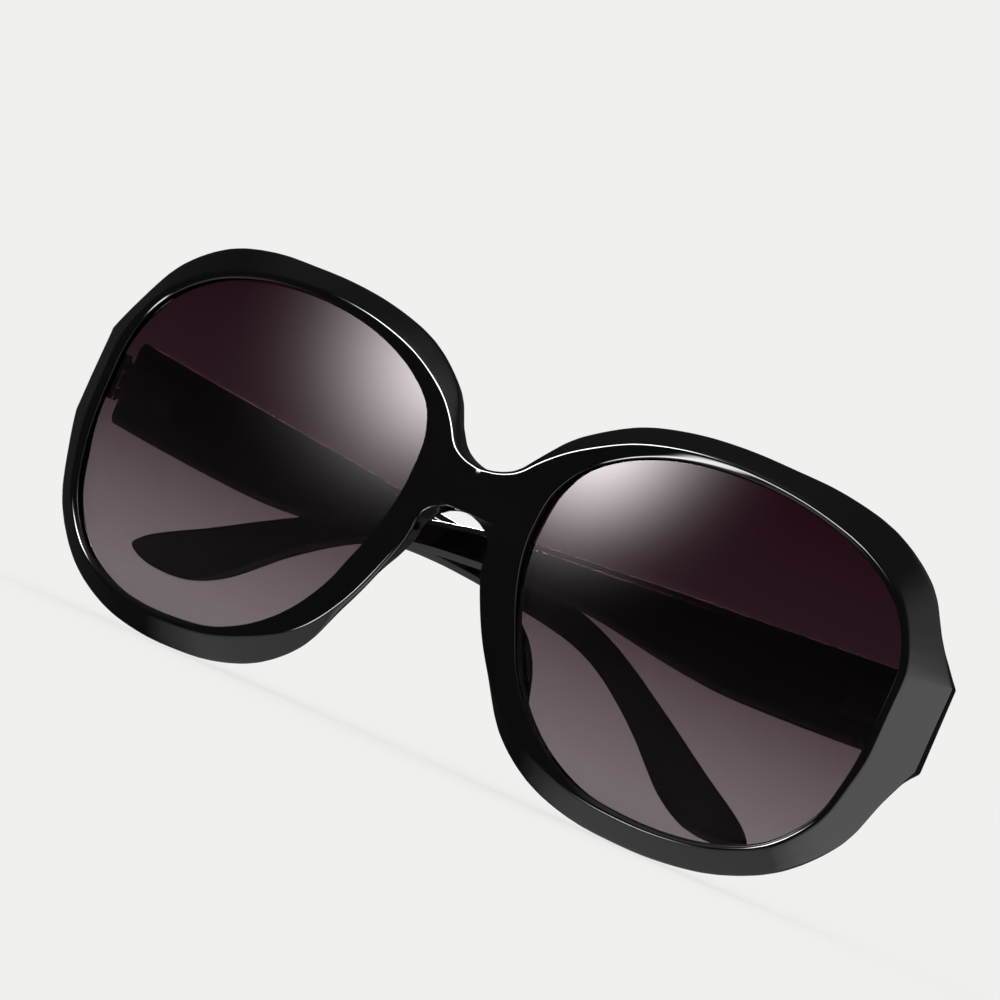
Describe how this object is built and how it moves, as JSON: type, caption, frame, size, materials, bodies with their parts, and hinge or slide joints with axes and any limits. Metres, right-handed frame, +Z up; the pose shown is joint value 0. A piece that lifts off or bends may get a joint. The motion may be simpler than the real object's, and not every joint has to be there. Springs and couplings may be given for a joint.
{
  "type": "sunglasses",
  "caption": "Oversized rounded-square sunglasses with a thick glossy frame, gradient tinted lenses and folding temples on screw hinges.",
  "frame": {"origin": "on the ground, under the middle of the folded pair's box", "axes": "+X to the wearer's left, -Y the way the lenses face, +Z up as worn; the temples are folded"},
  "size_m": [0.1476, 0.024, 0.0596],
  "materials": {
    "acetate": "polished black",
    "lens": "tinted, darker towards the top, see-through",
    "steel": "satin",
    "screw": "bright"
  },
  "bodies": {
    "front": {"front_frame": "acetate", "left_lens": "lens", "right_lens": "lens", "left_front_hinge": "steel", "right_front_hinge": "steel", "left_hinge_screw": "screw", "right_hinge_screw": "screw"},
    "left_arm": {"left_temple": "acetate", "left_temple_hinge": "steel"},
    "right_arm": {"right_temple": "acetate", "right_temple_hinge": "steel"}
  },
  "joints": [
    {"name": "left_temple_fold", "type": "hinge", "parent": "front", "child": "left_arm", "pos_m": [0.0694, 0.00759, 0.03305], "axis": [0, 0, -1], "range_deg": [0, 94.15]},
    {"name": "right_temple_fold", "type": "hinge", "parent": "front", "child": "right_arm", "pos_m": [-0.0694, 0.00759, 0.03305], "axis": [0, 0, 1], "range_deg": [0, 90.5]}
  ]
}
